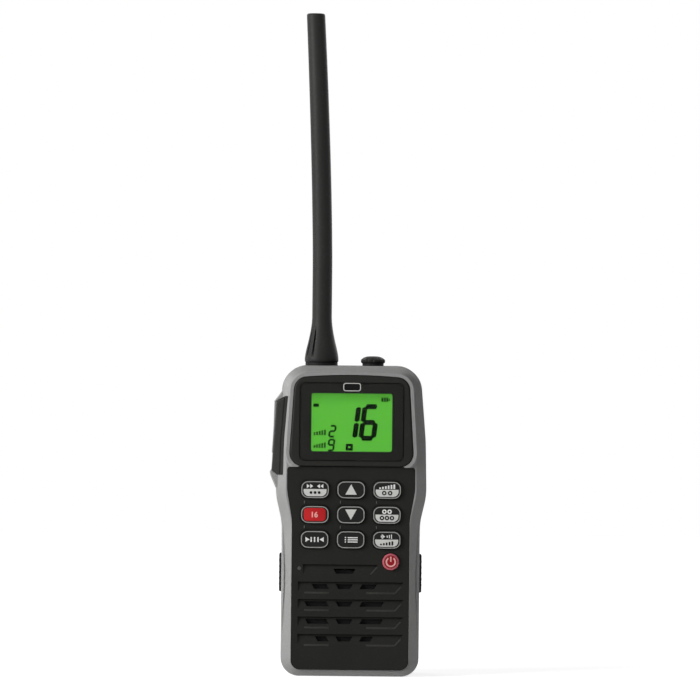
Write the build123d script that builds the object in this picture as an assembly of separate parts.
from build123d import *
import os

# A hand-held marine VHF radio, in millimetres. X runs to the right as the user sees the front, Y runs
# from the front to the back, and Z runs up. The origin is the centre of the flat foot of the rear shell.

# ---------------------------------------------------------------- driving dimensions

# Case outline, seen from the front
CASE_HEIGHT = 137.0
GRIP_HALF_WIDTH = 30.5
HEAD_HALF_WIDTH = 33.3
HEAD_MIDDLE_HALF_WIDTH = 32.8
HEAD_TOP_HALF_WIDTH = 30.1
GRIP_TOP_Z = 68.0
HEAD_BOTTOM_Z = 80.0
HEAD_MIDDLE_Z = 104.0
FOOT_CORNER_RADIUS = 8.0
SHOULDER_SHARE = 0.28
HEAD_SIDE_RADIUS = 100.0
HEAD_CORNER_RADIUS = 11.0

# Layers, from the front to the back
FASCIA_Y = -18.0
SPLIT_Y = -3.0
GASKET_THICKNESS = 0.8
GASKET_INSET = 0.6
BAY_Y = 6.0
HUMP_Y = 18.5
BATTERY_BACK_Y = 20.0
EDGE_BEVEL_REACH = 4.4
EDGE_BEVEL_DEPTH = 2.4
EDGE_ROUND = 0.8
FRAME_WALL = 2.0
FRAME_FRONT_WALL = 2.4
REAR_WALL = 2.2
HUMP_BOTTOM_Z = 98.0
BACK_ROUND = 3.0

# Clearances
SEAM = 0.15
KEY_GAP = 0.25
RUNNING_GAP = 0.05
BATTERY_GAP = 0.2

# Bowed grip groove along each side of the frame
GROOVE_MIDDLE_Z = 43.0
GROOVE_MIDDLE_X = 29.0
GROOVE_END_X = 29.9
GROOVE_BOW_RADIUS = 240.0
GROOVE_WIDTH = 0.7
GROOVE_FLOOR = 2.1

# Fascia and its opening in the frame
FASCIA_HALF_WIDTH = 26.0
FASCIA_TOP_HALF_WIDTH = 28.3
FASCIA_BOTTOM_Z = 2.8
FASCIA_TOP_Z = 92.4
FASCIA_STEP_Z = 69.0
FASCIA_FLARE_Z = 82.0
FASCIA_CORNER_RADIUS = 4.1
FASCIA_STEP_RADIUS = 25.0
FASCIA_TOP_RADIUS = 1.5
FASCIA_TAB_HALF_WIDTH = 23.4
FLANGE_REACH = 0.6
FLANGE_THICKNESS = 1.2
FLANGE_SEAT = 1.2

# Display bezel, its silver rim and what it holds
BEZEL_BOTTOM_HALF_WIDTH = 27.8
BEZEL_TOP_HALF_WIDTH = 25.4
BEZEL_BOTTOM_Z = 92.6
BEZEL_SHOULDER_Z = 132.0
BEZEL_TOP_Z = 133.7
BEZEL_CORNER_RADIUS = 6.0
BEZEL_ARCH_RADIUS = 250.0
BEZEL_RISE = 2.0
BEZEL_EDGE_ROUND = 0.9
RIM_WIDTH = 2.2
RIM_RISE = 1.7
RIM_BEVEL = 0.8
WINDOW_WIDTH = 46.2
WINDOW_HEIGHT = 34.7
WINDOW_Z = 112.4
WINDOW_RADIUS = 2.7
WINDOW_THICKNESS = 1.3
WINDOW_RECESS = 0.1
TAPE_THICKNESS = 0.2
TAPE_WIDTH = 2.4
GLASS_WIDTH = 35.6
GLASS_HEIGHT = 25.6
GLASS_Z = 112.1
GLASS_RADIUS = 1.0
LCD_MARGIN = 3.2
LCD_THICKNESS = 2.1
LEDGE_THICKNESS = 0.6
BACKLIGHT_INSET = 0.5

# Keys
KEY_WIDTH = 12.6
KEY_HEIGHT = 8.0
KEY_CORNER_RADIUS = 2.9
KEY_RISE = 1.3
KEY_EDGE_ROUND = 0.5
KEY_TRAVEL = 0.7
KEY_SEAT_GAP = 0.3
MAT_GAP = 0.2
KEY_COLUMN_PITCH = 15.9
KEY_ROW_PITCH = 11.0
KEY_TOP_ROW_Z = 82.4
POWER_KEY_RADIUS = 3.7
POWER_KEY_X = 17.8
POWER_KEY_Z = 50.8
NUB_RADIUS = 0.35
NUB_RISE = 0.2
NUB_SHIFT = 4.6
MAT_THICKNESS = 0.8
MAT_MARGIN = 1.0
PAD_RADIUS = 2.0
DOME_RADIUS = 2.5
DOME_THICKNESS = 0.3

# Speaker grille
LOUVRE_COUNT = 5
LOUVRE_PITCH = 7.7
LOUVRE_TOP_Z = 49.4
LOUVRE_HEIGHT = 4.4
LOUVRE_DEPTH = 1.3
LOUVRE_LEFT_X = -23.1
LOUVRE_RIGHT_X = 23.5
LOUVRE_SHORT_RIGHT_X = 12.0
LOUVRE_SHORT_LEFT_X = -21.0
LOUVRE_SLANT = 3.6
SLOT_HEIGHT = 2.2
SLOT_DROP = 3.2
SLOT_SLANT = 1.2
SLOT_INNER_X = 3.2
TOP_SLOT_INNER_X = 4.3
TOP_SLOT_DROP = 4.1
SLOT_WEB = 3.5
SLOT_FIELD_RADIUS = 17.9

# Speaker and microphone
SPEAKER_X = -2.6
SPEAKER_Z = 29.0
SPEAKER_RADIUS = 18.0
SPEAKER_DEPTH = 5.2
SPEAKER_WALL = 0.8
MESH_THICKNESS = 0.4
SPEAKER_GASKET_THICKNESS = 0.8
SPEAKER_RIM_WIDTH = 2.6
MAGNET_RADIUS = 10.0
MAGNET_DEPTH = 4.2
MAGNET_CHAMFER = 0.5
CONE_THROAT_RADIUS = 6.0
CONE_THICKNESS = 0.4
CONE_GAP = 1.2
MIC_X = -22.5
MIC_Z = 47.6
MIC_RADIUS = 2.0
MIC_DEPTH = 2.0
MIC_HOLE_RADIUS = 0.6

# Main board and what is on it
BOARD_GAP = 2.8
BOARD_THICKNESS = 1.6
BOARD_HALF_WIDTH = 24.0
BOARD_BOTTOM_Z = 47.8
BOARD_SHOULDER_Z = 124.4
BOARD_TAB_HALF_WIDTH = 8.0
BOARD_TAB_TOP_Z = 133.0
POST_RADIUS = 1.8
POST_HOLE_RADIUS = 0.8
LOWER_POST_X = (-14.0, 8.0)
LOWER_POST_Z = 50.6
UPPER_POST_Z = 131.0
BOARD_SCREW_HEAD_RADIUS = 1.5
BOARD_SCREW_HEAD = 0.9
SHIELD_WIDTH = 38.0
SHIELD_HEIGHT = 30.0
SHIELD_DEPTH = 5.0
SHIELD_Z = 80.0
SHIELD_WALL = 0.4

# Transmit bar on the left side, its well and its switch
PTT_BOTTOM_Z = 88.9
PTT_TOP_Z = 123.3
PTT_FRONT_Y = -17.0
PTT_BACK_Y = -5.0
PTT_TOP_PROUD = 0.5
PTT_BOTTOM_PROUD = 2.0
PTT_EDGE_ROUND = 0.7
PTT_TRAVEL = 1.0
PTT_WELL_DEPTH = 3.0
PTT_WELL_WALL = 1.0
PTT_WELL_REACH = 10.0
PTT_STEM_RADIUS = 1.5
PTT_STEM_Z = 104.0
PTT_STEM_Y = -8.2
PTT_STEM_LAP = 1.0
PTT_ROUNDED_BAND = 2.7
PTT_TOP_SLANT_WIDTH = 4.0
PTT_TOP_SLANT_DROP = 2.1
PTT_BOTTOM_SLANT_WIDTH = 2.8
PTT_BOTTOM_SLANT_RISE = 2.0
GUARD_TOP_Z = 125.6
GUARD_BOTTOM_Z = 82.8
GUARD_FRONT_Y = -16.0
GUARD_BACK_Y = -3.6
GUARD_TOP_REACH = 0.9
GUARD_TOP_PROUD = 1.0
GUARD_BOTTOM_PROUD = 0.8
GUARD_HEEL_PROUD = 0.3
GUARD_HEEL_RISE = 5.4
GUARD_TIP_DROP = 0.7
GUARD_RADIUS = 0.6
GUARD_BEVEL = 0.5
SWITCH_SIZE = 6.0
SWITCH_DEPTH = 3.5
SWITCH_LAP = 1.0

# Antenna
ANTENNA_X = -13.7
TOP_FITTINGS_Y = 5.0
ANTENNA_FOOT_RADIUS = 7.5
ANTENNA_WAIST_RADIUS = 4.3
ANTENNA_TIP_RADIUS = 4.05
ANTENNA_LENGTH = 156.6
ANTENNA_FLARE_HEIGHT = 19.0
ANTENNA_FLARE_REACH = 1.2
ANTENNA_FLARE_SHARE = 0.62
ANTENNA_STRAIGHT = 42.0
ANTENNA_LEAN = 4.0
ANTENNA_SECTIONS = 6
FLUTES_IN_GROUP = 3
FLUTE_SPACING = 28.0
FLUTE_MIDDLE = 209.0
FLUTE_RADIUS = 0.7
FLUTE_BOTTOM = 2.4
FLUTE_LENGTH = 13.0
FLUTE_LEAN = 9.5
FLUTE_OUTSET = 0.2
FLARE_FOOT_SLOPE = (-0.12, 1.0)
FLARE_TOP_SLOPE = (-0.05, 1.0)
ANTENNA_SEAL_RADIUS = 7.2
ANTENNA_SEAL_THICKNESS = 1.3
STUD_RADIUS = 3.2
STUD_SOCKET_DEPTH = 7.0
STUD_GRIP_LENGTH = 12.0
SOCKET_WALL = 1.2
SOCKET_DEPTH = 11.0
SOCKET_FLANGE = 1.4
SOCKET_FLANGE_THICKNESS = 1.0

# Accessory jack and its plug cap
JACK_X = 9.2
CAP_RADIUS = 5.45
CAP_HEIGHT = 3.2
CAP_DOME_RADIUS = 8.6
CAP_FOOT_BEVEL = 0.5
CAP_NOTCHES = 12
CAP_NOTCH_RADIUS = 0.5
CAP_PLUG_RADIUS = 3.2
CAP_PLUG_DEPTH = 5.0
CAP_SEAL_RADIUS = 4.75
CAP_SEAL_THICKNESS = 1.1

# Case screws
SCREW_RADIUS = 1.5
SCREW_HEAD_RADIUS = 2.8
SCREW_HEAD_THICKNESS = 2.0
SCREW_RECESS_GAP = 0.2
SCREW_COLUMN_RADIUS = 4.0
SCREW_BOSS_RADIUS = 3.2
SCREW_BOSS_RIB = 1.6
SCREW_BOSS_FLOOR = 1.5
SCREW_SEAT_WEB = 3.6
SCREW_GRIP = 8.5
LOWER_SCREW_X = 25.6
LOWER_SCREW_Z = 7.2
UPPER_SCREW_X = 24.6
UPPER_SCREW_Z = 130.2

# Battery pack
BATTERY_WALL = 1.8
BATTERY_COVER_THICKNESS = 1.6
CELL_WIDTH = 24.0
CELL_HEIGHT = 62.0
CELL_GAP = 0.5
CELL_CORNER_RADIUS = 1.5
CELL_BOTTOM_Z = 4.0
BATTERY_BOARD_HEIGHT = 12.0
BATTERY_BOARD_THICKNESS = 1.0
BATTERY_BOARD_INSET = 2.0
TERMINAL_PITCH = 6.0
TERMINAL_COUNT = 3
TERMINAL_Z = 88.0
TERMINAL_WIDTH = 4.4
TERMINAL_HEIGHT = 6.4
TERMINAL_THICKNESS = 0.5
TERMINAL_RECESS = 0.25
PIN_RADIUS = 0.8
PIN_LENGTH = 5.4
BLOCK_MARGIN = 4.0
BLOCK_HEIGHT = 8.4
BLOCK_DEPTH = 3.4
SEAL_RING_WIDTH = 1.4
SEAL_RING_THICKNESS = 0.9
SEAL_RING_MARGIN = 0.8
CHARGE_CONTACT_RADIUS = 2.2
CHARGE_CONTACT_THICKNESS = 0.8
CHARGE_CONTACT_X = 9.0
CHARGE_CONTACT_Z = 12.0

# Battery latches
LATCH_BOTTOM_Z = 36.0
LATCH_HEIGHT = 17.0
LATCH_FRONT_Y = 9.4
LATCH_WIDTH = 7.4
LATCH_PROUD = 1.3
LATCH_LIP = 0.9
LATCH_LIP_THICKNESS = 1.2
LATCH_TRAVEL = 1.2
LATCH_NOSE_HEIGHT = 5.0
LATCH_NOSE_THICKNESS = 1.4
LATCH_NOSE_REACH = 2.0
LATCH_GAP = 0.3
LEAF_THICKNESS = 0.3
LEAF_RISE = 0.9

# Belt clip
CLIP_PIVOT_Z = 88.0
CLIP_PIVOT_STANDOFF = 5.2
CLIP_PIN_RADIUS = 1.25
CLIP_WIDTH = 18.0
CLIP_BARREL_RADIUS = 2.5
CLIP_SPRING_SPACE = 7.0
CLIP_THICKNESS = 1.8
CLIP_BOTTOM_Z = 32.0
CLIP_TAB_TOP_Z = 101.0
CLIP_STANDOFF = 4.8
CLIP_TOE_REACH = 3.0
CLIP_TOE_ROUND = 0.8
CLIP_CORNER_RADIUS = 5.0
BRACKET_HALF_WIDTH = 11.4
BRACKET_THICKNESS = 1.4
BRACKET_BOTTOM_Z = 79.0
BRACKET_TOP_Z = 95.0
BRACKET_EAR_THICKNESS = 1.8
BRACKET_CORNER_RADIUS = 2.0
SIDE_PLAY = 0.3
SPRING_WIRE_RADIUS = 0.35
SPRING_TURNS = 5
CLIP_SCREW_RADIUS = 1.2
CLIP_SCREW_HEAD_RADIUS = 2.2
CLIP_SCREW_HEAD = 1.0
CLIP_SCREW_X = 5.0
CLIP_SCREW_Z = 81.6

# ---------------------------------------------------------------- derived places

SHOULDER_RISE = HEAD_BOTTOM_Z - GRIP_TOP_Z
SHOULDER_REACH = abs(HEAD_HALF_WIDTH - GRIP_HALF_WIDTH)
PTT_TOP_X = -HEAD_MIDDLE_HALF_WIDTH - PTT_TOP_PROUD
PTT_BOTTOM_X = -HEAD_HALF_WIDTH - PTT_BOTTOM_PROUD
SHOULDER_LENGTH = (SHOULDER_RISE ** 2 + SHOULDER_REACH ** 2) ** 0.5
SHOULDER_RADIUS = SHOULDER_SHARE * SHOULDER_LENGTH * SHOULDER_REACH / (SHOULDER_LENGTH - SHOULDER_RISE)
FRAME_INNER_Y = FASCIA_Y + FRAME_FRONT_WALL
REAR_FRONT_Y = SPLIT_Y + GASKET_THICKNESS
BEZEL_Y = FASCIA_Y - BEZEL_RISE
RIM_Y = FASCIA_Y - RIM_RISE
BOARD_Y = FRAME_INNER_Y + BOARD_GAP
BOARD_BACK_Y = BOARD_Y + BOARD_THICKNESS
WINDOW_BACK_Y = BEZEL_Y + WINDOW_RECESS + WINDOW_THICKNESS
LEDGE_Y = WINDOW_BACK_Y + TAPE_THICKNESS
LCD_Y = LEDGE_Y + LEDGE_THICKNESS
KEY_Y = FASCIA_Y - KEY_RISE
KEY_BACK_Y = FRAME_INNER_Y - KEY_SEAT_GAP
MAT_Y = KEY_BACK_Y + KEY_TRAVEL + MAT_GAP
MAT_BACK_Y = MAT_Y + MAT_THICKNESS
DOME_Y = BOARD_Y - DOME_THICKNESS
KEY_COLUMNS = [-KEY_COLUMN_PITCH, 0.0, KEY_COLUMN_PITCH]
KEY_ROWS = [KEY_TOP_ROW_Z - row * KEY_ROW_PITCH for row in range(3)]
BATTERY_Y = BAY_Y + BATTERY_GAP
BATTERY_CAVITY_Y = BATTERY_Y + BATTERY_COVER_THICKNESS
BATTERY_INNER_BACK_Y = BATTERY_BACK_Y - BATTERY_WALL
CLIP_PIVOT_Y = BATTERY_BACK_Y + CLIP_PIVOT_STANDOFF
FAR = 200.0


# ---------------------------------------------------------------- drawing helpers

def outline(right_side, radii, apex=None, apex_radius=0.0):
    """Closed front-view outline, mirrored from the corners of its right side, from the foot up."""
    left_side = [(-x, z) for x, z in reversed(right_side)]
    middle = [] if apex is None else [apex]
    middle_radius = [] if apex is None else [apex_radius]
    points = [*right_side, *middle, *left_side]
    return make_face(FilletPolyline(*points, radius=[*radii, *middle_radius, *reversed(radii)], close=True))


def slab(sketch, front, back):
    """The solid of a front-view sketch between two depths."""
    return Pos(0, back, 0) * extrude(Plane.XZ * sketch, amount=back - front)


def rectangle(left, right, bottom, top):
    """Front-view rectangle given by its four sides."""
    return Pos((left + right) / 2, (bottom + top) / 2) * Rectangle(right - left, top - bottom)


def block(left, right, front, back, bottom, top):
    """Box given by its six sides."""
    centre = Pos((left + right) / 2, (front + back) / 2, (bottom + top) / 2)
    return centre * Box(right - left, back - front, top - bottom)


def disc(x, z, radius):
    """Front-view circle."""
    return Pos(x, z) * Circle(radius)


def upright(x, y, radius, bottom, top):
    """Cylinder along Z between two heights."""
    return Pos(x, y, (bottom + top) / 2) * Cylinder(radius, top - bottom)


def crosswise(y, z, radius, left, right):
    """Cylinder along X between two sides."""
    return Pos((left + right) / 2, y, z) * Rot(0, 90, 0) * Cylinder(radius, right - left)


def front_edges(solid):
    """Edges of the foremost flat face."""
    return solid.faces().sort_by(Axis.Y)[0].edges()


def back_edges(solid):
    """Edges of the rearmost flat face."""
    return solid.faces().sort_by(Axis.Y)[-1].edges()


def save(node, solid):
    """Write one node to its own file."""
    export_step(solid, f"parts/{node}.step")


# ---------------------------------------------------------------- shared outlines

CASE = outline(
    [
        (GRIP_HALF_WIDTH, 0.0),
        (GRIP_HALF_WIDTH, GRIP_TOP_Z),
        (HEAD_HALF_WIDTH, HEAD_BOTTOM_Z),
        (HEAD_MIDDLE_HALF_WIDTH, HEAD_MIDDLE_Z),
        (HEAD_TOP_HALF_WIDTH, CASE_HEIGHT),
    ],
    [FOOT_CORNER_RADIUS, SHOULDER_RADIUS, SHOULDER_RADIUS, HEAD_SIDE_RADIUS, HEAD_CORNER_RADIUS],
)

BEZEL = outline(
    [(BEZEL_BOTTOM_HALF_WIDTH, BEZEL_BOTTOM_Z), (BEZEL_TOP_HALF_WIDTH, BEZEL_SHOULDER_Z)],
    [BEZEL_CORNER_RADIUS, BEZEL_CORNER_RADIUS],
    apex=(0.0, BEZEL_TOP_Z),
    apex_radius=BEZEL_ARCH_RADIUS,
)

FASCIA = outline(
    [
        (FASCIA_HALF_WIDTH, FASCIA_BOTTOM_Z),
        (FASCIA_HALF_WIDTH, FASCIA_STEP_Z),
        (FASCIA_TOP_HALF_WIDTH, FASCIA_FLARE_Z),
        (FASCIA_TOP_HALF_WIDTH, FASCIA_TOP_Z),
    ],
    [FASCIA_CORNER_RADIUS, FASCIA_STEP_RADIUS, FASCIA_STEP_RADIUS, FASCIA_TOP_RADIUS],
)

# Between the horns of the silver rim the fascia reaches up under the bezel's lower edge
FASCIA += rectangle(
    -FASCIA_TAB_HALF_WIDTH, FASCIA_TAB_HALF_WIDTH, FASCIA_TOP_Z - FLANGE_REACH, BEZEL_BOTTOM_Z + SEAM
)

FRAME_CAVITY = offset(CASE, -FRAME_WALL)
REAR_CAVITY = offset(CASE, -REAR_WALL)
PTT_TOP_SLANT = PTT_TOP_SLANT_DROP / PTT_TOP_SLANT_WIDTH
PTT_BOTTOM_SLANT = PTT_BOTTOM_SLANT_RISE / PTT_BOTTOM_SLANT_WIDTH
PTT_WELL_MOUTH_BOTTOM_Z = PTT_BOTTOM_Z + (PTT_BOTTOM_SLANT_WIDTH + PTT_WELL_REACH) * PTT_BOTTOM_SLANT
PTT_WELL_MOUTH_TOP_Z = PTT_TOP_Z - (PTT_TOP_SLANT_WIDTH + PTT_WELL_REACH) * PTT_TOP_SLANT
PTT_WELL_PLAN = make_face(Polyline(
    (0.0, PTT_BOTTOM_Z), (PTT_BOTTOM_X + PTT_BOTTOM_SLANT_WIDTH, PTT_BOTTOM_Z),
    (PTT_BOTTOM_X - PTT_WELL_REACH, PTT_WELL_MOUTH_BOTTOM_Z),
    (PTT_TOP_X - PTT_WELL_REACH, PTT_WELL_MOUTH_TOP_Z),
    (PTT_TOP_X + PTT_TOP_SLANT_WIDTH, PTT_TOP_Z), (0.0, PTT_TOP_Z), close=True
))
WINDOW_OPENING = Pos(0, WINDOW_Z) * RectangleRounded(WINDOW_WIDTH, WINDOW_HEIGHT, WINDOW_RADIUS)
GLASS_OPENING = Pos(0, GLASS_Z) * RectangleRounded(GLASS_WIDTH, GLASS_HEIGHT, GLASS_RADIUS)
LCD_OUTLINE = rectangle(
    -GLASS_WIDTH / 2 - LCD_MARGIN,
    GLASS_WIDTH / 2 + LCD_MARGIN,
    GLASS_Z - GLASS_HEIGHT / 2 - LCD_MARGIN,
    GLASS_Z + GLASS_HEIGHT / 2 + LCD_MARGIN,
)
KEY = RectangleRounded(KEY_WIDTH, KEY_HEIGHT, KEY_CORNER_RADIUS)
KEY_PLACES = [(x, z) for z in KEY_ROWS for x in KEY_COLUMNS]
CASE_SCREW_CORNERS = [(LOWER_SCREW_X, LOWER_SCREW_Z), (UPPER_SCREW_X, UPPER_SCREW_Z)]
CASE_SCREW_PLACES = [(side * x, z) for side in (-1, 1) for x, z in CASE_SCREW_CORNERS]
SCREW_SEATS = {LOWER_SCREW_Z: REAR_FRONT_Y + SCREW_SEAT_WEB, UPPER_SCREW_Z: BAY_Y}


# ---------------------------------------------------------------- case

def bevelled_case():
    """The frame's outer block, with a flat bevel round its front and a soft edge at the side."""
    body = slab(CASE, FASCIA_Y, SPLIT_Y)
    front = body.faces().sort_by(Axis.Y)[0]
    body = chamfer(front.edges(), length=EDGE_BEVEL_REACH, length2=EDGE_BEVEL_DEPTH, reference=front)
    side_y = FASCIA_Y + EDGE_BEVEL_DEPTH
    return fillet(body.edges().filter_by_position(Axis.Y, side_y - SEAM, side_y + SEAM), EDGE_ROUND)


def ptt_guard():
    """Shoulders that rise from the frame's left side above and below the transmit bar."""
    corners = [
        (-HEAD_HALF_WIDTH + EDGE_BEVEL_REACH, GUARD_BOTTOM_Z),
        (-HEAD_HALF_WIDTH, GUARD_BOTTOM_Z),
        (PTT_BOTTOM_X - GUARD_HEEL_PROUD, GUARD_BOTTOM_Z + GUARD_HEEL_RISE),
        (PTT_BOTTOM_X - GUARD_BOTTOM_PROUD, PTT_BOTTOM_Z + PTT_BOTTOM_SLANT_RISE - GUARD_TIP_DROP),
        (PTT_BOTTOM_X, PTT_BOTTOM_Z + PTT_BOTTOM_SLANT_RISE),
        (PTT_TOP_X - GUARD_TOP_PROUD, PTT_TOP_Z - PTT_TOP_SLANT_DROP),
        (-HEAD_TOP_HALF_WIDTH - GUARD_TOP_REACH, GUARD_TOP_Z),
        (-HEAD_TOP_HALF_WIDTH + EDGE_BEVEL_REACH, GUARD_TOP_Z),
    ]
    radii = [0.0, GUARD_RADIUS, GUARD_RADIUS, GUARD_RADIUS, 0.0, GUARD_RADIUS, GUARD_RADIUS, 0.0]
    face = make_face(FilletPolyline(*corners, radius=radii, close=True))
    guard = slab(face, GUARD_FRONT_Y, GUARD_BACK_Y)
    return chamfer(front_edges(guard), GUARD_BEVEL)


def frame_boss(x, z):
    """Screw boss inside the frame, tied to the nearer side wall by a rib."""
    left, right = sorted((x, FAR if x > 0 else -FAR))
    rib = rectangle(left, right, z - SCREW_BOSS_RIB / 2, z + SCREW_BOSS_RIB / 2)
    face = (disc(x, z, SCREW_BOSS_RADIUS) + rib) & offset(CASE, -FRAME_WALL / 2)
    return slab(face, SPLIT_Y - SCREW_GRIP - SCREW_BOSS_FLOOR, SPLIT_Y)


def grip_grooves():
    """Narrow groove that bows inwards down each side of the grip and grows shallow towards its ends."""
    grooves = []
    for side in (-1, 1):
        bow_x = side * (GROOVE_MIDDLE_X + GROOVE_BOW_RADIUS)
        outer_bow = disc(bow_x, GROOVE_MIDDLE_Z, GROOVE_BOW_RADIUS + GROOVE_WIDTH / 2)
        inner_bow = disc(bow_x, GROOVE_MIDDLE_Z, GROOVE_BOW_RADIUS - GROOVE_WIDTH / 2)
        band = (outer_bow - inner_bow) & rectangle(-GROOVE_END_X, GROOVE_END_X, 0.0, CASE_HEIGHT)
        grooves.append(slab(band, FASCIA_Y, FASCIA_Y + GROOVE_FLOOR))
    return grooves


def front_frame():
    """Silver frame: a shell with an open front, a rim round the display and the transmit bar's well."""
    outer = bevelled_case()
    rim = slab(offset(BEZEL, RIM_WIDTH), RIM_Y, FRAME_INNER_Y)
    rim = chamfer(front_edges(rim), RIM_BEVEL)
    well_wall = offset(PTT_WELL_PLAN, PTT_WELL_WALL) & (CASE - offset(CASE, -PTT_WELL_DEPTH - PTT_WELL_WALL))
    well = outer & slab(well_wall, FASCIA_Y, PTT_BACK_Y + KEY_GAP + PTT_WELL_WALL)
    frame = outer - slab(FRAME_CAVITY, FRAME_INNER_Y, SPLIT_Y)
    frame = frame + rim + well + (ptt_guard() - slab(FRAME_CAVITY, FASCIA_Y, SPLIT_Y))
    for x, z in CASE_SCREW_PLACES:
        frame += frame_boss(x, z)
    frame -= slab(BEZEL + FASCIA, BEZEL_Y - RIM_RISE, FRAME_INNER_Y)
    for groove in grip_grooves():
        frame -= groove
    pocket = offset(PTT_WELL_PLAN, KEY_GAP) - offset(CASE, -PTT_WELL_DEPTH)
    frame -= slab(pocket, PTT_FRONT_Y - KEY_GAP, PTT_BACK_Y + KEY_GAP)
    frame -= Pos(0, PTT_STEM_Y, PTT_STEM_Z) * Rot(0, -90, 0) * Cylinder(
        PTT_STEM_RADIUS + KEY_GAP, HEAD_HALF_WIDTH, align=(Align.CENTER, Align.CENTER, Align.MIN)
    )
    for x, z in CASE_SCREW_PLACES:
        frame -= slab(disc(x, z, SCREW_RADIUS + RUNNING_GAP), SPLIT_Y - SCREW_GRIP - RUNNING_GAP, SPLIT_Y)
    return frame


def flange(opening, taken=None):
    """Lip behind the frame's opening that holds a front piece in place."""
    reach = offset(opening, FLANGE_REACH) & offset(CASE, -FRAME_WALL - SEAM)
    reach = reach if taken is None else reach - taken
    return slab(reach, FRAME_INNER_Y, FRAME_INNER_Y + FLANGE_THICKNESS)


def post(x, z, face_y):
    """Hollow screw post that stands behind a front piece and carries the main board."""
    return slab(disc(x, z, POST_RADIUS), face_y, BOARD_Y) - slab(disc(x, z, POST_HOLE_RADIUS), face_y, BOARD_Y)


def display_bezel():
    """Raised bezel with seats for the window in front and for the display panel behind."""
    bezel = slab(offset(BEZEL, -SEAM), BEZEL_Y, FRAME_INNER_Y)
    bezel = fillet(front_edges(bezel), BEZEL_EDGE_ROUND)
    bezel += flange(BEZEL)
    bezel -= slab(WINDOW_OPENING, BEZEL_Y, LEDGE_Y)
    bezel -= slab(GLASS_OPENING, BEZEL_Y, FRAME_INNER_Y + FLANGE_THICKNESS)
    bezel -= slab(offset(LCD_OUTLINE, SEAM), LCD_Y, FRAME_INNER_Y + FLANGE_THICKNESS)
    return bezel + post(0.0, UPPER_POST_Z, FRAME_INNER_Y + FLANGE_THICKNESS)


def louvre(top, left, right):
    """One grille band: a wedge cut deepest at its top ledge, with a slanted right end."""
    bottom = top - LOUVRE_HEIGHT
    front = FASCIA_Y - LOUVRE_DEPTH
    band = make_face(Polyline(
        (left, bottom), (right - LOUVRE_SLANT, bottom), (right, top), (left, top), close=True
    ))
    wedge = Plane.YZ * make_face(Polyline(
        (front, bottom), (FASCIA_Y, bottom), (FASCIA_Y + LOUVRE_DEPTH, top), (front, top), close=True
    ))
    return slab(band, front, FRAME_INNER_Y) & extrude(wedge, amount=FAR / 2, both=True)


def louvre_slots(top, slot_drop, inner_x):
    """Through slots of one band, kept inside the speaker's circle, with ends that lean outwards."""
    high = top - slot_drop + SLOT_HEIGHT
    low = top - slot_drop
    near = inner_x + SLOT_WEB
    drop = (high + low) / 2 - SPEAKER_Z
    outer_x = max(0.0, SLOT_FIELD_RADIUS ** 2 - drop ** 2) ** 0.5
    slots = make_face(Polyline(
        (-inner_x + SLOT_SLANT / 2, low), (inner_x - SLOT_SLANT / 2, low),
        (inner_x + SLOT_SLANT / 2, high), (-inner_x - SLOT_SLANT / 2, high), close=True
    ))
    for side in (-1, 1):
        if outer_x > near + SLOT_SLANT:
            slots += make_face(Polyline(
                (side * near, low), (side * (outer_x - SLOT_SLANT), low),
                (side * outer_x, high), (side * (near + SLOT_SLANT), high), close=True
            ))
    return Pos(SPEAKER_X, 0) * slots


def front_fascia():
    """Black front plate with the key openings and the louvred grille."""
    bezel_space = offset(BEZEL, SEAM)
    fascia = slab(offset(FASCIA, -SEAM) - bezel_space, FASCIA_Y, FRAME_INNER_Y)
    fascia += flange(FASCIA, taken=offset(BEZEL, FLANGE_REACH + SEAM))
    for x, z in KEY_PLACES:
        fascia += slab(disc(x - NUB_SHIFT, z - KEY_ROW_PITCH / 2, NUB_RADIUS), FASCIA_Y - NUB_RISE, FASCIA_Y)
    for x, z in KEY_PLACES:
        fascia -= slab(Pos(x, z) * offset(KEY, KEY_GAP), FASCIA_Y - NUB_RISE, FRAME_INNER_Y)
    power_hole = disc(POWER_KEY_X, POWER_KEY_Z, POWER_KEY_RADIUS + KEY_GAP)
    fascia -= slab(power_hole, FASCIA_Y, FRAME_INNER_Y)
    fascia -= slab(disc(MIC_X, MIC_Z, MIC_HOLE_RADIUS), FASCIA_Y, FRAME_INNER_Y)
    for index in range(LOUVRE_COUNT):
        top = LOUVRE_TOP_Z - index * LOUVRE_PITCH
        left = LOUVRE_SHORT_LEFT_X if index == 0 else LOUVRE_LEFT_X
        right = LOUVRE_SHORT_RIGHT_X if index == 0 else LOUVRE_RIGHT_X
        fascia -= louvre(top, left, right)
        slot_drop = TOP_SLOT_DROP if index == 0 else SLOT_DROP
        inner_x = TOP_SLOT_INNER_X if index == 0 else SLOT_INNER_X
        fascia -= slab(louvre_slots(top, slot_drop, inner_x), FASCIA_Y, FRAME_INNER_Y)
    fascia -= slab(offset(FASCIA, -FLANGE_SEAT), FRAME_INNER_Y, FRAME_INNER_Y + FLANGE_THICKNESS)
    for x in LOWER_POST_X:
        fascia += post(x, LOWER_POST_Z, FRAME_INNER_Y)
    return fascia


def screw_column(x, z):
    """Column in the rear shell round one case screw."""
    return slab(disc(x, z, SCREW_COLUMN_RADIUS) & CASE, REAR_FRONT_Y, HUMP_Y if z > HUMP_BOTTOM_Z else BAY_Y)


def screw_recess(x, z):
    """Clearance for one case screw: its shank, its head and the way in from the back."""
    seat = SCREW_SEATS[z]
    shank = slab(disc(x, z, SCREW_RADIUS + SCREW_RECESS_GAP), REAR_FRONT_Y, HUMP_Y)
    return shank + slab(disc(x, z, SCREW_HEAD_RADIUS + SCREW_RECESS_GAP), seat, HUMP_Y)


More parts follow.
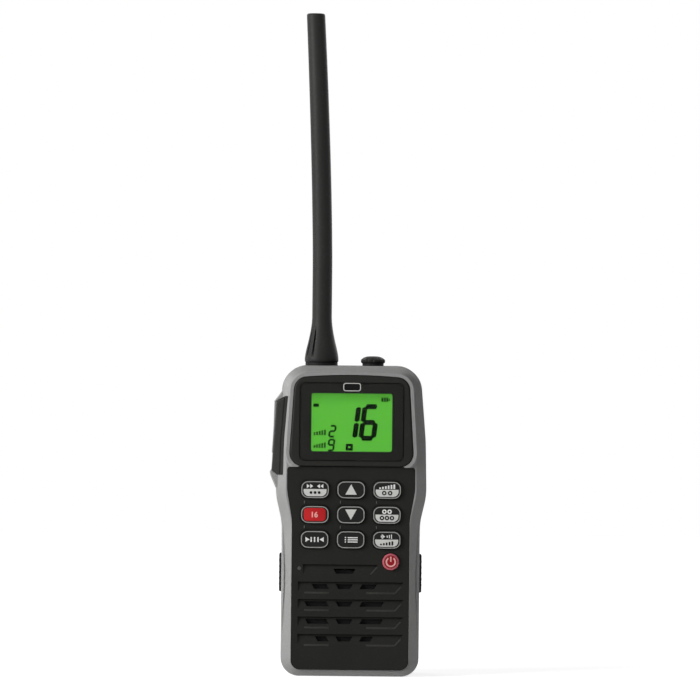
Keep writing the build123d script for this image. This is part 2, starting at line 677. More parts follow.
def latch_slot(side, gap):
    """Opening that a battery latch's nose passes through, in the front view."""
    inner, outer = latch_nose_span()
    bottom, top = latch_nose_heights()
    left, right = sorted((side * (inner - LATCH_TRAVEL - gap), side * (outer + gap)))
    return rectangle(left, right, bottom - gap, top + gap)


def rear_shell():
    """Rear shell with the hump above the battery bay, the top wall's fittings and the screw columns."""
    head = CASE & rectangle(-FAR, FAR, HUMP_BOTTOM_Z, FAR)
    hump = fillet(back_edges(slab(head, BAY_Y, HUMP_Y)), BACK_ROUND)
    shell = slab(CASE, REAR_FRONT_Y, BAY_Y) + hump
    hump_cavity = REAR_CAVITY & rectangle(-FAR, FAR, HUMP_BOTTOM_Z + REAR_WALL, FAR)
    shell -= slab(REAR_CAVITY, REAR_FRONT_Y, BAY_Y - REAR_WALL)
    shell -= slab(hump_cavity, REAR_FRONT_Y, HUMP_Y - REAR_WALL)
    for x, z in CASE_SCREW_PLACES:
        shell += screw_column(x, z) & (slab(CASE, REAR_FRONT_Y, BAY_Y) + hump)
    for x, z in CASE_SCREW_PLACES:
        shell -= screw_recess(x, z)
    antenna_hole = STUD_RADIUS + RUNNING_GAP + SOCKET_WALL
    jack_hole = CAP_PLUG_RADIUS + RUNNING_GAP + SOCKET_WALL
    inside = CASE_HEIGHT - REAR_WALL
    shell -= upright(ANTENNA_X, TOP_FITTINGS_Y, antenna_hole, inside, CASE_HEIGHT)
    shell -= upright(JACK_X, TOP_FITTINGS_Y, jack_hole, inside, CASE_HEIGHT)
    shell -= slab(contact_block_outline(), REAR_FRONT_Y, BAY_Y)
    for side in (-1, 1):
        shell -= slab(latch_slot(side, LATCH_GAP), BAY_Y - REAR_WALL, BAY_Y)
    return shell


def case_gasket():
    """Rubber ring squeezed between the frame and the rear shell."""
    ring = offset(CASE, -GASKET_INSET) - offset(CASE, GASKET_INSET / 2 - FRAME_WALL)
    return slab(ring, SPLIT_Y, REAR_FRONT_Y)


def case_screws():
    """The four screws that hold the rear shell to the frame."""
    screws = []
    for x, z in CASE_SCREW_PLACES:
        seat = SCREW_SEATS[z]
        head = slab(disc(x, z, SCREW_HEAD_RADIUS), seat, seat + SCREW_HEAD_THICKNESS)
        drive = Pos(x, z) * RegularPolygon(SCREW_HEAD_RADIUS / 2, 6)
        head -= slab(drive, seat + SCREW_HEAD_THICKNESS / 2, seat + SCREW_HEAD_THICKNESS)
        screws.append(head + slab(disc(x, z, SCREW_RADIUS), SPLIT_Y - SCREW_GRIP, seat))
    return Compound(children=screws)


# ---------------------------------------------------------------- display

def display_window():
    """Clear window that lies in the bezel's front recess."""
    pane = Pos(0, WINDOW_Z) * RectangleRounded(WINDOW_WIDTH - 2 * SEAM, WINDOW_HEIGHT - 2 * SEAM, WINDOW_RADIUS)
    return slab(pane, BEZEL_Y + WINDOW_RECESS, WINDOW_BACK_Y)


def window_tape():
    """Adhesive frame that seals the window to the bezel's ledge."""
    outer = offset(WINDOW_OPENING, -SEAM)
    return slab(outer - offset(WINDOW_OPENING, -TAPE_WIDTH), WINDOW_BACK_Y, LEDGE_Y)


def lcd_panel():
    """Liquid-crystal cell behind the bezel's ledge."""
    return slab(LCD_OUTLINE, LCD_Y, LCD_Y + LCD_THICKNESS)


def lcd_backlight():
    """Light guide that fills the space between the display panel and the main board."""
    return slab(offset(LCD_OUTLINE, -BACKLIGHT_INSET, kind=Kind.INTERSECTION), LCD_Y + LCD_THICKNESS, BOARD_Y)


# ---------------------------------------------------------------- board

def main_board():
    """Main circuit board, with a tab at its top for the upper screw."""
    face = rectangle(-BOARD_HALF_WIDTH, BOARD_HALF_WIDTH, BOARD_BOTTOM_Z, BOARD_SHOULDER_Z)
    face += rectangle(-BOARD_TAB_HALF_WIDTH, BOARD_TAB_HALF_WIDTH, BOARD_SHOULDER_Z, BOARD_TAB_TOP_Z)
    for x, z in board_screw_places():
        face -= disc(x, z, POST_HOLE_RADIUS)
    return slab(face, BOARD_Y, BOARD_BACK_Y)


def board_screw_places():
    """Where the main board is screwed to its posts."""
    return [(0.0, UPPER_POST_Z)] + [(x, LOWER_POST_Z) for x in LOWER_POST_X]


def board_screws():
    """Small screws that hold the main board to its posts."""
    screws = []
    for x, z in board_screw_places():
        head = slab(disc(x, z, BOARD_SCREW_HEAD_RADIUS), BOARD_BACK_Y, BOARD_BACK_Y + BOARD_SCREW_HEAD)
        drive = disc(x, z, BOARD_SCREW_HEAD_RADIUS / 2)
        head -= slab(drive, BOARD_BACK_Y + BOARD_SCREW_HEAD / 2, BOARD_BACK_Y + BOARD_SCREW_HEAD)
        shank = slab(disc(x, z, POST_HOLE_RADIUS - RUNNING_GAP), FRAME_INNER_Y + FLANGE_THICKNESS, BOARD_BACK_Y)
        screws.append(head + shank)
    return Compound(children=screws)


def rf_shield():
    """Folded metal can over the radio-frequency circuits on the board's back."""
    half = SHIELD_WIDTH / 2
    bottom = SHIELD_Z - SHIELD_HEIGHT / 2
    top = SHIELD_Z + SHIELD_HEIGHT / 2
    can = slab(rectangle(-half, half, bottom, top), BOARD_BACK_Y, BOARD_BACK_Y + SHIELD_DEPTH)
    hollow = rectangle(-half + SHIELD_WALL, half - SHIELD_WALL, bottom + SHIELD_WALL, top - SHIELD_WALL)
    return can - slab(hollow, BOARD_BACK_Y, BOARD_BACK_Y + SHIELD_DEPTH - SHIELD_WALL)


# ---------------------------------------------------------------- keys

def keypad_mat():
    """Silicone mat behind the keys, with a press pad behind each key and a tongue for the power key."""
    half = KEY_COLUMN_PITCH + KEY_WIDTH / 2 + MAT_MARGIN
    bottom = KEY_ROWS[-1] - KEY_HEIGHT / 2 - MAT_MARGIN
    face = rectangle(-half, half, bottom, KEY_ROWS[0] + KEY_HEIGHT / 2 + MAT_MARGIN)
    tongue = POWER_KEY_RADIUS + MAT_MARGIN
    face += rectangle(POWER_KEY_X - tongue, POWER_KEY_X + tongue, POWER_KEY_Z - POWER_KEY_RADIUS, bottom)
    mat = slab(face, MAT_Y, MAT_BACK_Y)
    for x, z in [*KEY_PLACES, (POWER_KEY_X, POWER_KEY_Z)]:
        mat += slab(disc(x, z, PAD_RADIUS), MAT_BACK_Y, DOME_Y - RUNNING_GAP)
    return mat


def key_domes():
    """Metal snap domes on the board, one under each key."""
    places = [*KEY_PLACES, (POWER_KEY_X, POWER_KEY_Z)]
    return Compound(children=[slab(disc(x, z, DOME_RADIUS), DOME_Y, BOARD_Y) for x, z in places])


def key(x, z):
    """One soft-cornered key of the three by three field."""
    cap = slab(Pos(x, z) * KEY, KEY_Y, KEY_BACK_Y)
    return fillet(front_edges(cap), KEY_EDGE_ROUND)


def power_key():
    """Round power key."""
    cap = slab(disc(POWER_KEY_X, POWER_KEY_Z, POWER_KEY_RADIUS), KEY_Y, KEY_BACK_Y)
    return fillet(front_edges(cap), KEY_EDGE_ROUND)


# ---------------------------------------------------------------- speaker and microphone

def speaker_mesh():
    """Water-repellent mesh between the grille and the speaker."""
    return slab(disc(SPEAKER_X, SPEAKER_Z, SPEAKER_RADIUS), FRAME_INNER_Y, FRAME_INNER_Y + MESH_THICKNESS)


def speaker_gasket():
    """Foam ring between the mesh and the speaker's rim."""
    front = FRAME_INNER_Y + MESH_THICKNESS
    hole = disc(SPEAKER_X, SPEAKER_Z, SPEAKER_RADIUS - SPEAKER_RIM_WIDTH)
    ring = disc(SPEAKER_X, SPEAKER_Z, SPEAKER_RADIUS) - hole
    return slab(ring, front, front + SPEAKER_GASKET_THICKNESS)


def speaker_face_y():
    """Depth of the speaker's front rim."""
    return FRAME_INNER_Y + MESH_THICKNESS + SPEAKER_GASKET_THICKNESS


def turned(profile):
    """Revolve a half profile, given as (radius, depth), about the speaker's axis."""
    face = Plane.XY * make_face(Polyline(*profile, close=True))
    return Pos(SPEAKER_X, 0, SPEAKER_Z) * revolve(face, Axis.Y)


def speaker_frame():
    """Pressed steel basket of the loudspeaker."""
    face = speaker_face_y()
    back = face + SPEAKER_DEPTH
    rim = SPEAKER_RADIUS
    return turned([
        (rim, face), (rim, face + SPEAKER_WALL), (rim - SPEAKER_RIM_WIDTH, face + SPEAKER_WALL),
        (MAGNET_RADIUS, back), (CONE_THROAT_RADIUS, back), (CONE_THROAT_RADIUS, back - SPEAKER_WALL),
        (MAGNET_RADIUS - SPEAKER_WALL, back - SPEAKER_WALL), (rim - SPEAKER_RIM_WIDTH, face),
    ])


def speaker_cone():
    """Paper cone and dust cap, carried by the basket."""
    face = speaker_face_y()
    back = face + SPEAKER_DEPTH - SPEAKER_WALL
    rim = SPEAKER_RADIUS - SPEAKER_RIM_WIDTH - CONE_GAP
    throat = CONE_THROAT_RADIUS + CONE_GAP
    front = face + CONE_THICKNESS
    floor = back - 2 * CONE_THICKNESS - CONE_GAP / 2
    return turned([
        (rim, front), (throat, floor), (0.0, floor),
        (0.0, floor + CONE_THICKNESS), (throat, floor + CONE_THICKNESS), (rim, front + CONE_THICKNESS),
    ])


def speaker_magnet():
    """Magnet and yoke behind the basket."""
    back = speaker_face_y() + SPEAKER_DEPTH
    magnet = slab(disc(SPEAKER_X, SPEAKER_Z, MAGNET_RADIUS), back, back + MAGNET_DEPTH)
    return chamfer(back_edges(magnet), MAGNET_CHAMFER)


def microphone():
    """Electret capsule behind its small hole in the fascia."""
    return slab(disc(MIC_X, MIC_Z, MIC_RADIUS), FRAME_INNER_Y, FRAME_INNER_Y + MIC_DEPTH)


# ---------------------------------------------------------------- transmit bar

def ptt_button():
    """Rubber transmit bar with a raised press pad and a stem that reaches the switch."""
    outer = make_face(Polyline(
        (0.0, PTT_BOTTOM_Z), (PTT_BOTTOM_X + PTT_BOTTOM_SLANT_WIDTH, PTT_BOTTOM_Z),
        (PTT_BOTTOM_X, PTT_BOTTOM_Z + PTT_BOTTOM_SLANT_RISE), (PTT_TOP_X, PTT_TOP_Z - PTT_TOP_SLANT_DROP),
        (PTT_TOP_X + PTT_TOP_SLANT_WIDTH, PTT_TOP_Z), (0.0, PTT_TOP_Z), close=True
    ))
    rest_depth = PTT_WELL_DEPTH - PTT_TRAVEL - KEY_GAP
    bar = slab(outer - offset(CASE, -rest_depth), PTT_FRONT_Y, PTT_BACK_Y)
    sides = bar.edges().filter_by(lambda edge: edge.center().X < PTT_TOP_X + PTT_ROUNDED_BAND)
    bar = fillet(sides.filter_by(Axis.Y, reverse=True), PTT_EDGE_ROUND)
    stem_root = -HEAD_MIDDLE_HALF_WIDTH + rest_depth - PTT_STEM_LAP
    stem_end = switch_face_x() - PTT_TRAVEL - RUNNING_GAP * 3
    return bar + crosswise(PTT_STEM_Y, PTT_STEM_Z, PTT_STEM_RADIUS, stem_root, stem_end)


def switch_face_x():
    """Outer face of the transmit switch."""
    return -BOARD_HALF_WIDTH - SWITCH_DEPTH + SWITCH_LAP


def ptt_switch():
    """Tact switch on the board's back, in line with the transmit bar's stem."""
    left = switch_face_x()
    bottom = PTT_STEM_Z - SWITCH_SIZE / 2
    back = BOARD_BACK_Y + SWITCH_SIZE
    return block(left, left + SWITCH_DEPTH, BOARD_BACK_Y, back, bottom, bottom + SWITCH_SIZE)


# ---------------------------------------------------------------- antenna and jack

def socket(x, bore_radius, depth):
    """Flanged metal bush in the top wall, open at the top."""
    wall_radius = bore_radius + SOCKET_WALL
    inside = CASE_HEIGHT - REAR_WALL
    bush = upright(x, TOP_FITTINGS_Y, wall_radius, CASE_HEIGHT - depth, CASE_HEIGHT)
    bush += upright(x, TOP_FITTINGS_Y, wall_radius + SOCKET_FLANGE, inside - SOCKET_FLANGE_THICKNESS, inside)
    return bush - upright(x, TOP_FITTINGS_Y, bore_radius, CASE_HEIGHT - depth + SOCKET_WALL, CASE_HEIGHT)


def antenna_socket():
    """Brass socket that takes the antenna's stud."""
    return socket(ANTENNA_X, STUD_RADIUS + RUNNING_GAP, SOCKET_DEPTH)


def jack_socket():
    """Accessory jack under the plug cap."""
    return socket(JACK_X, CAP_PLUG_RADIUS + RUNNING_GAP, SOCKET_DEPTH)


def seal_ring(x, outer_radius, inner_radius, thickness):
    """Flat rubber ring that lies on the case's top."""
    ring = upright(x, TOP_FITTINGS_Y, outer_radius, CASE_HEIGHT, CASE_HEIGHT + thickness)
    return ring - upright(x, TOP_FITTINGS_Y, inner_radius, CASE_HEIGHT, CASE_HEIGHT + thickness)


def antenna_whip():
    """Rubber antenna: a flared foot with two groups of flutes, then a run that leans over to its flat tip."""
    foot = CASE_HEIGHT + ANTENNA_SEAL_THICKNESS
    profile = make_face(
        Polyline(
            (ANTENNA_WAIST_RADIUS, ANTENNA_FLARE_HEIGHT), (0.0, ANTENNA_FLARE_HEIGHT), (0.0, 0.0),
            (ANTENNA_FOOT_RADIUS, 0.0), (ANTENNA_FOOT_RADIUS, FLUTE_BOTTOM)
        )
        + Spline(
            (ANTENNA_FOOT_RADIUS, FLUTE_BOTTOM),
            (ANTENNA_WAIST_RADIUS + ANTENNA_FLARE_REACH, ANTENNA_FLARE_HEIGHT * ANTENNA_FLARE_SHARE),
            (ANTENNA_WAIST_RADIUS, ANTENNA_FLARE_HEIGHT),
            tangents=[FLARE_FOOT_SLOPE, FLARE_TOP_SLOPE],
        )
    )
    place = Pos(ANTENNA_X, TOP_FITTINGS_Y, foot)
    whip = place * revolve(Plane.XZ * profile, Axis.Z)
    tip_height = ANTENNA_LENGTH - ANTENNA_SEAL_THICKNESS
    sections = []
    for step in range(ANTENNA_SECTIONS + 1):
        share = step / ANTENNA_SECTIONS
        height = ANTENNA_FLARE_HEIGHT + share * (tip_height - ANTENNA_FLARE_HEIGHT)
        bend = max(0.0, height - ANTENNA_STRAIGHT) / (tip_height - ANTENNA_STRAIGHT)
        radius = ANTENNA_WAIST_RADIUS + share * (ANTENNA_TIP_RADIUS - ANTENNA_WAIST_RADIUS)
        sections.append(place * Pos(-ANTENNA_LEAN * bend ** 1.5, 0, height) * Circle(radius))
    whip += loft(sections)
    steps = [index - (FLUTES_IN_GROUP - 1) / 2 for index in range(FLUTES_IN_GROUP)]
    for angle in [FLUTE_MIDDLE + side + step * FLUTE_SPACING for side in (0.0, 180.0) for step in steps]:
        turn = Rot(0, 0, angle)
        lean = Rot(0, -FLUTE_LEAN, 0)
        start = Pos(ANTENNA_FOOT_RADIUS + FLUTE_OUTSET, 0, FLUTE_BOTTOM)
        groove = Cylinder(FLUTE_RADIUS, FLUTE_LENGTH, align=(Align.CENTER, Align.CENTER, Align.MIN))
        whip -= place * turn * start * lean * groove
    bore_top = foot + STUD_GRIP_LENGTH
    return whip - upright(ANTENNA_X, TOP_FITTINGS_Y, STUD_RADIUS, foot, bore_top)


def antenna_stud():
    """Metal stud of the antenna, from its grip in the rubber foot down into the socket."""
    top = CASE_HEIGHT + ANTENNA_SEAL_THICKNESS + STUD_GRIP_LENGTH
    return upright(ANTENNA_X, TOP_FITTINGS_Y, STUD_RADIUS, CASE_HEIGHT - STUD_SOCKET_DEPTH, top)


def antenna_seal():
    """Seal ring under the antenna's foot."""
    return seal_ring(ANTENNA_X, ANTENNA_SEAL_RADIUS, STUD_RADIUS + RUNNING_GAP, ANTENNA_SEAL_THICKNESS)


def jack_seal():
    """Seal ring under the jack's cap."""
    return seal_ring(JACK_X, CAP_SEAL_RADIUS, CAP_PLUG_RADIUS + RUNNING_GAP, CAP_SEAL_THICKNESS)


def jack_cap():
    """Domed cap of the accessory jack, with grip notches in its edge and a plug that pulls out."""
    bottom = CASE_HEIGHT + CAP_SEAL_THICKNESS
    head = upright(JACK_X, TOP_FITTINGS_Y, CAP_RADIUS, bottom, bottom + CAP_HEIGHT)
    head = chamfer(head.edges().sort_by(Axis.Z)[0], CAP_FOOT_BEVEL)
    head &= Pos(JACK_X, TOP_FITTINGS_Y, bottom + CAP_HEIGHT - CAP_DOME_RADIUS) * Sphere(CAP_DOME_RADIUS)
    for index in range(CAP_NOTCHES):
        turn = Rot(0, 0, index * 360 / CAP_NOTCHES)
        notch = Pos(CAP_RADIUS + CAP_NOTCH_RADIUS / 3, 0, 0) * Cylinder(CAP_NOTCH_RADIUS, 4 * CAP_HEIGHT)
        head -= Pos(JACK_X, TOP_FITTINGS_Y, bottom) * turn * notch
    return head + upright(JACK_X, TOP_FITTINGS_Y, CAP_PLUG_RADIUS, CASE_HEIGHT - CAP_PLUG_DEPTH, bottom)


# ---------------------------------------------------------------- battery contacts

def terminal_columns():
    """X places of the battery's terminals."""
    middle = (TERMINAL_COUNT - 1) / 2
    return [(index - middle) * TERMINAL_PITCH for index in range(TERMINAL_COUNT)]


def contact_block_outline():
    """Front-view outline of the contact block."""
    half = TERMINAL_PITCH * (TERMINAL_COUNT - 1) / 2 + BLOCK_MARGIN
    return rectangle(-half, half, TERMINAL_Z - BLOCK_HEIGHT / 2, TERMINAL_Z + BLOCK_HEIGHT / 2)


def contact_block():
    """Insulating block in the bay's wall that carries the spring pins."""
    body = slab(contact_block_outline(), BAY_Y - BLOCK_DEPTH, BAY_Y)
    for x in terminal_columns():
        body -= slab(disc(x, TERMINAL_Z, PIN_RADIUS + RUNNING_GAP), BAY_Y - BLOCK_DEPTH, BAY_Y)
    return body


def contact_pins():
    """Gold-plated spring pins that reach the battery's terminals."""
    tip = BATTERY_Y + TERMINAL_RECESS - RUNNING_GAP
    pins = [slab(disc(x, TERMINAL_Z, PIN_RADIUS), tip - PIN_LENGTH, tip) for x in terminal_columns()]
    return Compound(children=[fillet(back_edges(pin), PIN_RADIUS / 2) for pin in pins])


# ---------------------------------------------------------------- battery pack

def battery_outline():
    """Front-view outline of the pack: the case's outline below the hump."""
    return CASE & rectangle(-FAR, FAR, 0.0, HUMP_BOTTOM_Z - BATTERY_GAP)


def latch_window(side, gap):
    """Opening in the pack's side wall that one latch pad comes through."""
    left, right = sorted((side * (GRIP_HALF_WIDTH - 2 * BATTERY_WALL), side * (GRIP_HALF_WIDTH + BATTERY_WALL)))
    back = LATCH_FRONT_Y + LATCH_WIDTH
    top = LATCH_BOTTOM_Z + LATCH_HEIGHT
    return block(left, right, LATCH_FRONT_Y - gap, back + gap, LATCH_BOTTOM_Z - gap, top + gap)


def battery_case():
    """Outer shell of the pack, open towards its cover."""
    case = slab(battery_outline(), BATTERY_CAVITY_Y, BATTERY_BACK_Y)
    case = fillet(back_edges(case), BACK_ROUND)
    case -= slab(offset(battery_outline(), -BATTERY_WALL), BATTERY_CAVITY_Y, BATTERY_INNER_BACK_Y)
    for side in (-1, 1):
        case -= latch_window(side, KEY_GAP)
        case -= slab(disc(side * CHARGE_CONTACT_X, CHARGE_CONTACT_Z, CHARGE_CONTACT_RADIUS),
                     BATTERY_BACK_Y - CHARGE_CONTACT_THICKNESS, BATTERY_BACK_Y)
        hole = disc(side * CLIP_SCREW_X, CLIP_SCREW_Z, CLIP_SCREW_RADIUS)
        case -= slab(hole, BATTERY_INNER_BACK_Y, BATTERY_BACK_Y)
    return case


def seal_ring_outline(reach):
    """Rounded rectangle round the battery's terminals, grown by a reach."""
    half = TERMINAL_PITCH * (TERMINAL_COUNT - 1) / 2 + TERMINAL_WIDTH / 2
    width = 2 * (half + reach)
    height = TERMINAL_HEIGHT + 2 * reach
    return Pos(0, TERMINAL_Z) * RectangleRounded(width, height, min(width, height) / 4)


def battery_cover():
    """Front plate of the pack, with pockets for the terminals and a groove for their seal."""
    cover = slab(battery_outline(), BATTERY_Y, BATTERY_CAVITY_Y)
    for x in terminal_columns():
        pocket = Pos(x, TERMINAL_Z) * Rectangle(TERMINAL_WIDTH, TERMINAL_HEIGHT)
        cover -= slab(pocket, BATTERY_Y, BATTERY_Y + TERMINAL_RECESS + TERMINAL_THICKNESS)
    groove = seal_ring_outline(SEAL_RING_MARGIN + SEAL_RING_WIDTH) - seal_ring_outline(SEAL_RING_MARGIN)
    cover -= slab(groove, BATTERY_Y, BATTERY_Y + SEAL_RING_THICKNESS)
    for side in (-1, 1):
        cover -= slab(latch_slot(side, LATCH_GAP), BATTERY_Y, BATTERY_CAVITY_Y)
    return cover


def battery_seal():
    """Rubber ring that keeps water off the terminals."""
    ring = seal_ring_outline(SEAL_RING_MARGIN + SEAL_RING_WIDTH) - seal_ring_outline(SEAL_RING_MARGIN)
    return slab(ring, BATTERY_Y - BATTERY_GAP / 2, BATTERY_Y + SEAL_RING_THICKNESS)


def battery_terminals():
    """Flat terminals in the cover's pockets."""
    plates = []
    for x in terminal_columns():
        plate = Pos(x, TERMINAL_Z) * Rectangle(TERMINAL_WIDTH, TERMINAL_HEIGHT)
        front = BATTERY_Y + TERMINAL_RECESS
        plates.append(slab(plate, front, front + TERMINAL_THICKNESS))
    return Compound(children=plates)


def battery_cells():
    """Two flat lithium cells side by side."""
    cells = []
    for side in (-1, 1):
        middle = side * (CELL_WIDTH + CELL_GAP) / 2
        left, right = middle - CELL_WIDTH / 2, middle + CELL_WIDTH / 2
        face = rectangle(left, right, CELL_BOTTOM_Z, CELL_BOTTOM_Z + CELL_HEIGHT)
        cell = slab(face, BATTERY_CAVITY_Y, BATTERY_INNER_BACK_Y)
        cells.append(fillet(cell.edges().filter_by(Axis.Z), CELL_CORNER_RADIUS))
    return Compound(children=cells)


def battery_board():
    """Protection board above the cells, on the cover's back."""
    bottom = TERMINAL_Z - BATTERY_BOARD_HEIGHT / 2
    half = CELL_WIDTH - BATTERY_BOARD_INSET
    back = BATTERY_CAVITY_Y + BATTERY_BOARD_THICKNESS
    return block(-half, half, BATTERY_CAVITY_Y, back, bottom, bottom + BATTERY_BOARD_HEIGHT)


def charge_contacts():
    """Two round contacts for the drop-in charger, flush in the pack's back."""
    front = BATTERY_BACK_Y - CHARGE_CONTACT_THICKNESS
    radius = CHARGE_CONTACT_RADIUS - RUNNING_GAP
    places = [side * CHARGE_CONTACT_X for side in (-1, 1)]
    return Compound(children=[slab(disc(x, CHARGE_CONTACT_Z, radius), front, BATTERY_BACK_Y) for x in places])


# ---------------------------------------------------------------- battery latches

def latch_nose_span():
    """Inner and outer distance of a latch's nose from the middle plane."""
    outer = GRIP_HALF_WIDTH - BATTERY_WALL - SEAM
    return outer - LATCH_NOSE_THICKNESS, outer


def latch_nose_heights():
    """Lowest and highest point of a latch's nose."""
    middle = LATCH_BOTTOM_Z + LATCH_HEIGHT / 2
    return middle - LATCH_NOSE_HEIGHT / 2, middle + LATCH_NOSE_HEIGHT / 2


def latch(side):
    """Release latch: the pad in the pack's side, its retaining lip and the nose that grips the shell."""
    top = LATCH_BOTTOM_Z + LATCH_HEIGHT
    back = LATCH_FRONT_Y + LATCH_WIDTH
    lip_outer = GRIP_HALF_WIDTH - BATTERY_WALL - SEAM
    lip_inner = lip_outer - LATCH_LIP_THICKNESS
    nose_inner, nose_outer = latch_nose_span()
    nose_bottom, nose_top = latch_nose_heights()
    pad = block(lip_inner, GRIP_HALF_WIDTH + LATCH_PROUD, LATCH_FRONT_Y, back, LATCH_BOTTOM_Z, top)
    pad = fillet(pad.faces().sort_by(Axis.X)[-1].edges(), LATCH_PROUD / 2)
    lip_front = LATCH_FRONT_Y - LATCH_LIP
    lip = block(lip_inner, lip_outer, lip_front, back + LATCH_LIP, LATCH_BOTTOM_Z - LATCH_LIP, top + LATCH_LIP)
    nose_tip = BAY_Y - LATCH_NOSE_REACH
    nose = block(nose_inner, nose_outer, nose_tip, LATCH_FRONT_Y, nose_bottom, nose_top)
    whole = pad + lip + nose
    return whole if side > 0 else mirror(whole, about=Plane.YZ)


def latch_springs():
    """Arched leaf springs that push the latches outwards, seated on the pack's cover."""
    nose_inner, _ = latch_nose_span()
    high_x = nose_inner - LATCH_TRAVEL - LATCH_GAP
    low_x = high_x - LEAF_RISE
    middle = LATCH_BOTTOM_Z + LATCH_HEIGHT / 2
    half = LATCH_HEIGHT / 2
    arch = ThreePointArc((low_x, middle - half), (high_x - LEAF_THICKNESS, middle), (low_x, middle + half))
    face = make_face(
        arch
        + Line((low_x, middle + half), (low_x + LEAF_THICKNESS, middle + half))
        + ThreePointArc(
            (low_x + LEAF_THICKNESS, middle + half), (high_x, middle), (low_x + LEAF_THICKNESS, middle - half)
        )
        + Line((low_x + LEAF_THICKNESS, middle - half), (low_x, middle - half))
    )
    right = slab(face, BATTERY_CAVITY_Y, BATTERY_CAVITY_Y + LATCH_WIDTH / 2)
    return Compound(children=[right, mirror(right, about=Plane.YZ)])


# ---------------------------------------------------------------- belt clip

def clip_bracket():
    """Bracket on the pack's back, with two ears for the hinge pin."""
    face = rectangle(-BRACKET_HALF_WIDTH, BRACKET_HALF_WIDTH, BRACKET_BOTTOM_Z, BRACKET_TOP_Z)
    base = slab(face, BATTERY_BACK_Y, BATTERY_BACK_Y + BRACKET_THICKNESS)
    base = fillet(base.edges().filter_by(Axis.Y), BRACKET_CORNER_RADIUS)
    ear_radius = CLIP_BARREL_RADIUS
    for side in (-1, 1):
        inner = CLIP_WIDTH / 2 + SIDE_PLAY
        left, right = sorted((side * inner, side * (inner + BRACKET_EAR_THICKNESS)))
        ear = crosswise(CLIP_PIVOT_Y, CLIP_PIVOT_Z, ear_radius, left, right)
        low, high = CLIP_PIVOT_Z - ear_radius, CLIP_PIVOT_Z + ear_radius
        ear += block(left, right, BATTERY_BACK_Y, CLIP_PIVOT_Y, low, high)
        base += ear
        base -= slab(disc(side * CLIP_SCREW_X, CLIP_SCREW_Z, CLIP_SCREW_RADIUS + RUNNING_GAP),
                     BATTERY_BACK_Y, BATTERY_BACK_Y + BRACKET_THICKNESS)
    reach = CLIP_WIDTH / 2 + SIDE_PLAY + BRACKET_EAR_THICKNESS
    return base - crosswise(CLIP_PIVOT_Y, CLIP_PIVOT_Z, CLIP_PIN_RADIUS, -reach, reach)


def clip_screws():
    """Two screws that hold the bracket to the pack."""
    screws = []
    seat = BATTERY_BACK_Y + BRACKET_THICKNESS
    for side in (-1, 1):
        x = side * CLIP_SCREW_X
        head = slab(disc(x, CLIP_SCREW_Z, CLIP_SCREW_HEAD_RADIUS), seat, seat + CLIP_SCREW_HEAD)
        shank = slab(disc(x, CLIP_SCREW_Z, CLIP_SCREW_RADIUS - RUNNING_GAP), BATTERY_INNER_BACK_Y, seat)
        screws.append(head + shank)
    return Compound(children=screws)


def clip_pin():
    """Hinge pin of the clip, held in the bracket's ears."""
    reach = CLIP_WIDTH / 2 + SIDE_PLAY + BRACKET_EAR_THICKNESS
    return crosswise(CLIP_PIVOT_Y, CLIP_PIVOT_Z, CLIP_PIN_RADIUS, -reach, reach)


def clip_spring():
    """Torsion spring round the pin, in the middle of the clip's barrel."""
    radius = CLIP_PIN_RADIUS + 2 * SPRING_WIRE_RADIUS
    length = CLIP_SPRING_SPACE - 4 * SPRING_WIRE_RADIUS - 2 * SIDE_PLAY
    path = Helix(pitch=length / SPRING_TURNS, height=length, radius=radius)
    wire = sweep(Plane(path @ 0, z_dir=path % 0) * Circle(SPRING_WIRE_RADIUS), path=path)
    return Pos(-length / 2, CLIP_PIVOT_Y, CLIP_PIVOT_Z) * Rot(0, 90, 0) * wire


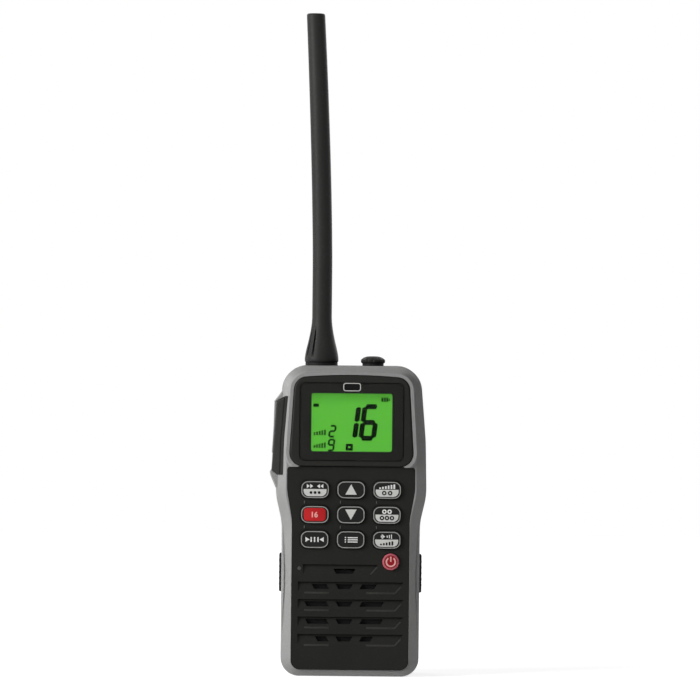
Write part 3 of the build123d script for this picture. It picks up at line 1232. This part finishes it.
def belt_clip():
    """Clip lever: barrel, long blade with a hooked toe, and the thumb tab above the hinge."""
    half = CLIP_WIDTH / 2
    inner_y = BATTERY_BACK_Y + CLIP_STANDOFF
    outer_y = inner_y + CLIP_THICKNESS
    blade = slab(rectangle(-half, half, CLIP_BOTTOM_Z, CLIP_TAB_TOP_Z), inner_y, outer_y)
    blade = fillet(blade.edges().filter_by(Axis.Y), CLIP_CORNER_RADIUS)
    toe_y = inner_y - CLIP_TOE_REACH
    toe = slab(rectangle(-half, half, CLIP_BOTTOM_Z, CLIP_BOTTOM_Z + 2 * CLIP_THICKNESS), toe_y, outer_y)
    toe = fillet(toe.edges().filter_by(Axis.X), CLIP_TOE_ROUND)
    rounded = slab(rectangle(-half, half, CLIP_BOTTOM_Z, CLIP_TAB_TOP_Z), toe_y, outer_y)
    toe = toe & fillet(rounded.edges().filter_by(Axis.Y), CLIP_CORNER_RADIUS)
    clip = blade + toe + crosswise(CLIP_PIVOT_Y, CLIP_PIVOT_Z, CLIP_BARREL_RADIUS, -half, half)
    gap = CLIP_SPRING_SPACE / 2
    space = crosswise(CLIP_PIVOT_Y, CLIP_PIVOT_Z, CLIP_BARREL_RADIUS + SIDE_PLAY, -gap, gap)
    return clip - space - crosswise(CLIP_PIVOT_Y, CLIP_PIVOT_Z, CLIP_PIN_RADIUS + RUNNING_GAP, -half, half)


# ---------------------------------------------------------------- every node

KEY_NODES = [
    "channel_key", "up_key", "power_level_key",
    "sixteen_key", "down_key", "watch_key",
    "scan_key", "memory_key", "volume_key",
]

NODES = {
    "front_frame": front_frame,
    "front_fascia": front_fascia,
    "display_bezel": display_bezel,
    "rear_shell": rear_shell,
    "case_gasket": case_gasket,
    "case_screws": case_screws,
    "display_window": display_window,
    "window_tape": window_tape,
    "lcd_panel": lcd_panel,
    "lcd_backlight": lcd_backlight,
    "main_board": main_board,
    "board_screws": board_screws,
    "rf_shield": rf_shield,
    "keypad_mat": keypad_mat,
    "key_domes": key_domes,
    "power_key": power_key,
    "speaker_mesh": speaker_mesh,
    "speaker_gasket": speaker_gasket,
    "speaker_frame": speaker_frame,
    "speaker_cone": speaker_cone,
    "speaker_magnet": speaker_magnet,
    "microphone": microphone,
    "ptt_button": ptt_button,
    "ptt_switch": ptt_switch,
    "antenna_socket": antenna_socket,
    "antenna_seal": antenna_seal,
    "antenna_stud": antenna_stud,
    "antenna_whip": antenna_whip,
    "jack_socket": jack_socket,
    "jack_seal": jack_seal,
    "jack_cap": jack_cap,
    "contact_block": contact_block,
    "contact_pins": contact_pins,
    "battery_case": battery_case,
    "battery_cover": battery_cover,
    "battery_seal": battery_seal,
    "battery_terminals": battery_terminals,
    "battery_cells": battery_cells,
    "battery_board": battery_board,
    "charge_contacts": charge_contacts,
    "latch_springs": latch_springs,
    "clip_bracket": clip_bracket,
    "clip_screws": clip_screws,
    "clip_pin": clip_pin,
    "clip_spring": clip_spring,
    "belt_clip": belt_clip,
}

os.makedirs("parts", exist_ok=True)
for node, make in NODES.items():
    save(node, make())
for node, (x, z) in zip(KEY_NODES, KEY_PLACES):
    save(node, key(x, z))
save("latch_left", latch(-1))
save("latch_right", latch(1))
